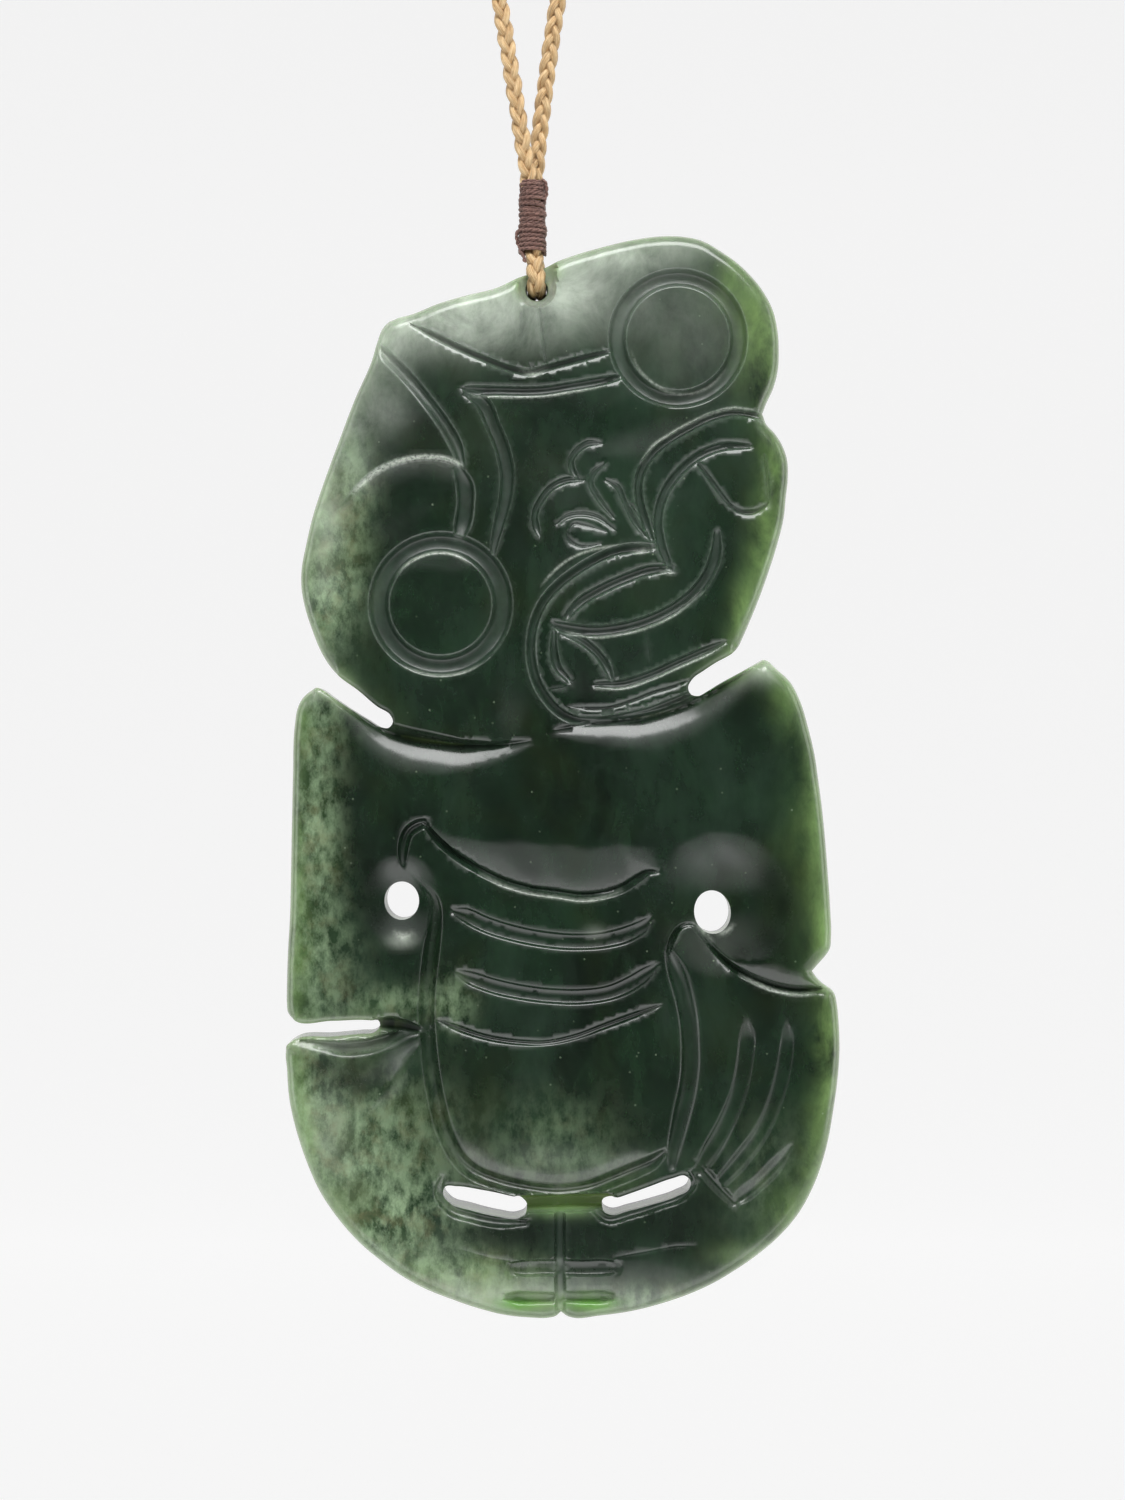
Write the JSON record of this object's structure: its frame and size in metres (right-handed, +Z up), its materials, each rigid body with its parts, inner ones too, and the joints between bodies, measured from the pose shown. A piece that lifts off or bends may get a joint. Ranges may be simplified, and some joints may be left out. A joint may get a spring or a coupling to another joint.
{
  "type": "greenstone hei tiki pendant on a cord",
  "caption": "Carved flat nephrite figure pendant with a tilted head, pierced arms and sawn slots, hung by its top hole from a bound plaited neck cord.",
  "frame": {"origin": "underside of the cord at the top of its loop, where the necklace hangs", "axes": "+Z up along the hanging necklace, +X to the right as seen from the carved front, +Y towards the plain back; the carved front faces -Y"},
  "size_m": [0.093, 0.0064, 0.4348],
  "materials": {
    "greenstone": "polished dark green nephrite, translucent at its thin edges",
    "plaited_cord": "golden tan waxed plait",
    "binding_thread": "dark brown waxed thread"
  },
  "bodies": {
    "cord": {"neck_cord": "plaited_cord", "cord_eye": "plaited_cord", "binding": "binding_thread"},
    "stone": {"pendant": "greenstone"}
  },
  "joints": [
    {"name": "stone_swing", "type": "hinge", "parent": "cord", "child": "stone", "pos_m": [0, 0, -0.33076], "axis": [0, 1, 0], "range_deg": [-10, 10]}
  ]
}
